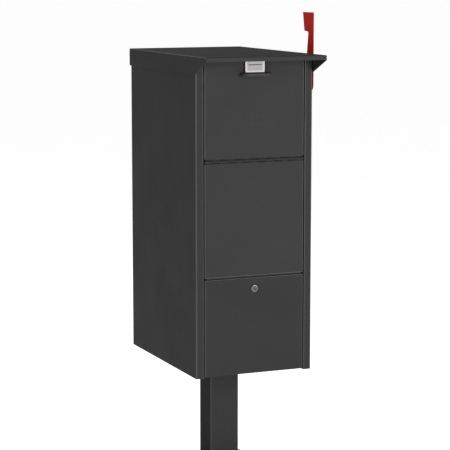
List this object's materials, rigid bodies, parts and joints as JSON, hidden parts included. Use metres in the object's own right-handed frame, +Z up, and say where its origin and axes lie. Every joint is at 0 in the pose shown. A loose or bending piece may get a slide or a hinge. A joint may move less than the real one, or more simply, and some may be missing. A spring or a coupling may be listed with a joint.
{
  "type": "parcel drop box",
  "caption": "Post-mounted steel mail and parcel drop box with a bottom-hinged hopper intake door, a locking retrieval door, an overhanging hood and a pivoting signal flag.",
  "frame": {"origin": "middle of the base plate's underside, on the ground", "axes": "+Z up along the post; the doors face -Y; +X is to the right of a person who faces the doors, the side the flag is on"},
  "size_m": [0.4306, 0.6984, 1.55],
  "materials": {
    "charcoal_powder_coat": "fine-texture charcoal powder coat, semi-gloss",
    "zinc_plated_steel": "bright zinc plate",
    "bare_steel": "plain steel",
    "nickel_plated_brass": "nickel plate",
    "red_enamel": "gloss red enamel",
    "black_rubber": "matt rubber",
    "label_plate": "satin printed label plate",
    "black_plastic": "matt black",
    "black_painted_zinc": "black powder coat"
  },
  "bodies": {
    "cabinet": {"base_plate": "charcoal_powder_coat", "post_tube": "charcoal_powder_coat", "post_top_plate": "charcoal_powder_coat", "floor_pan": "charcoal_powder_coat", "left_side_panel": "charcoal_powder_coat", "right_side_panel": "charcoal_powder_coat", "rear_panel": "charcoal_powder_coat", "middle_panel": "charcoal_powder_coat", "hood": "charcoal_powder_coat", "upper_cross_rail": "charcoal_powder_coat", "lower_cross_rail": "charcoal_powder_coat", "header_rail": "charcoal_powder_coat", "rear_baffle": "charcoal_powder_coat", "door_bumper_left": "black_rubber", "door_bumper_right": "black_rubber", "intake_hinge_frame_leaf": "charcoal_powder_coat", "intake_hinge_pin": "bare_steel", "lower_hinge_frame_leaf": "zinc_plated_steel", "lower_hinge_pin": "bare_steel", "flag_spacer": "black_plastic", "flag_washer": "zinc_plated_steel", "flag_bolt": "zinc_plated_steel", "flag_nut": "zinc_plated_steel", "mount_bolt_1": "zinc_plated_steel", "mount_bolt_2": "zinc_plated_steel", "mount_bolt_3": "zinc_plated_steel", "mount_bolt_4": "zinc_plated_steel", "mount_nut_1": "zinc_plated_steel", "mount_nut_2": "zinc_plated_steel", "mount_nut_3": "zinc_plated_steel", "mount_nut_4": "zinc_plated_steel"},
    "intake_door": {"intake_door": "charcoal_powder_coat", "hopper_tray": "charcoal_powder_coat", "hopper_side_left": "charcoal_powder_coat", "hopper_side_right": "charcoal_powder_coat", "intake_hinge_door_leaf": "charcoal_powder_coat", "pull_handle": "black_painted_zinc", "handle_screw_left": "zinc_plated_steel", "handle_screw_right": "zinc_plated_steel", "label_frame": "black_plastic", "name_plate": "label_plate"},
    "lower_door": {"lower_door": "charcoal_powder_coat", "lower_hinge_door_leaf": "zinc_plated_steel", "lock_body": "nickel_plated_brass", "lock_nut": "zinc_plated_steel"},
    "lock": {"lock_plug": "nickel_plated_brass", "lock_cam": "bare_steel", "lock_cam_screw": "zinc_plated_steel"},
    "flag": {"flag": "red_enamel"}
  },
  "joints": [
    {"name": "intake_door_hinge", "type": "hinge", "parent": "cabinet", "child": "intake_door", "pos_m": [0, -0.294, 1.0815], "axis": [1, 0, 0], "range_deg": [0, 70]},
    {"name": "lower_door_hinge", "type": "hinge", "parent": "cabinet", "child": "lower_door", "pos_m": [0, -0.2918, 0.3905], "axis": [1, 0, 0], "range_deg": [0, 90]},
    {"name": "lock_turn", "type": "hinge", "parent": "lower_door", "child": "lock", "pos_m": [0, -0.298, 0.665], "axis": [0, -1, 0], "range_deg": [0, 90]},
    {"name": "flag_pivot", "type": "hinge", "parent": "cabinet", "child": "flag", "pos_m": [0.216, -0.251, 1.319], "axis": [1, 0, 0], "range_deg": [-90, 0]}
  ]
}
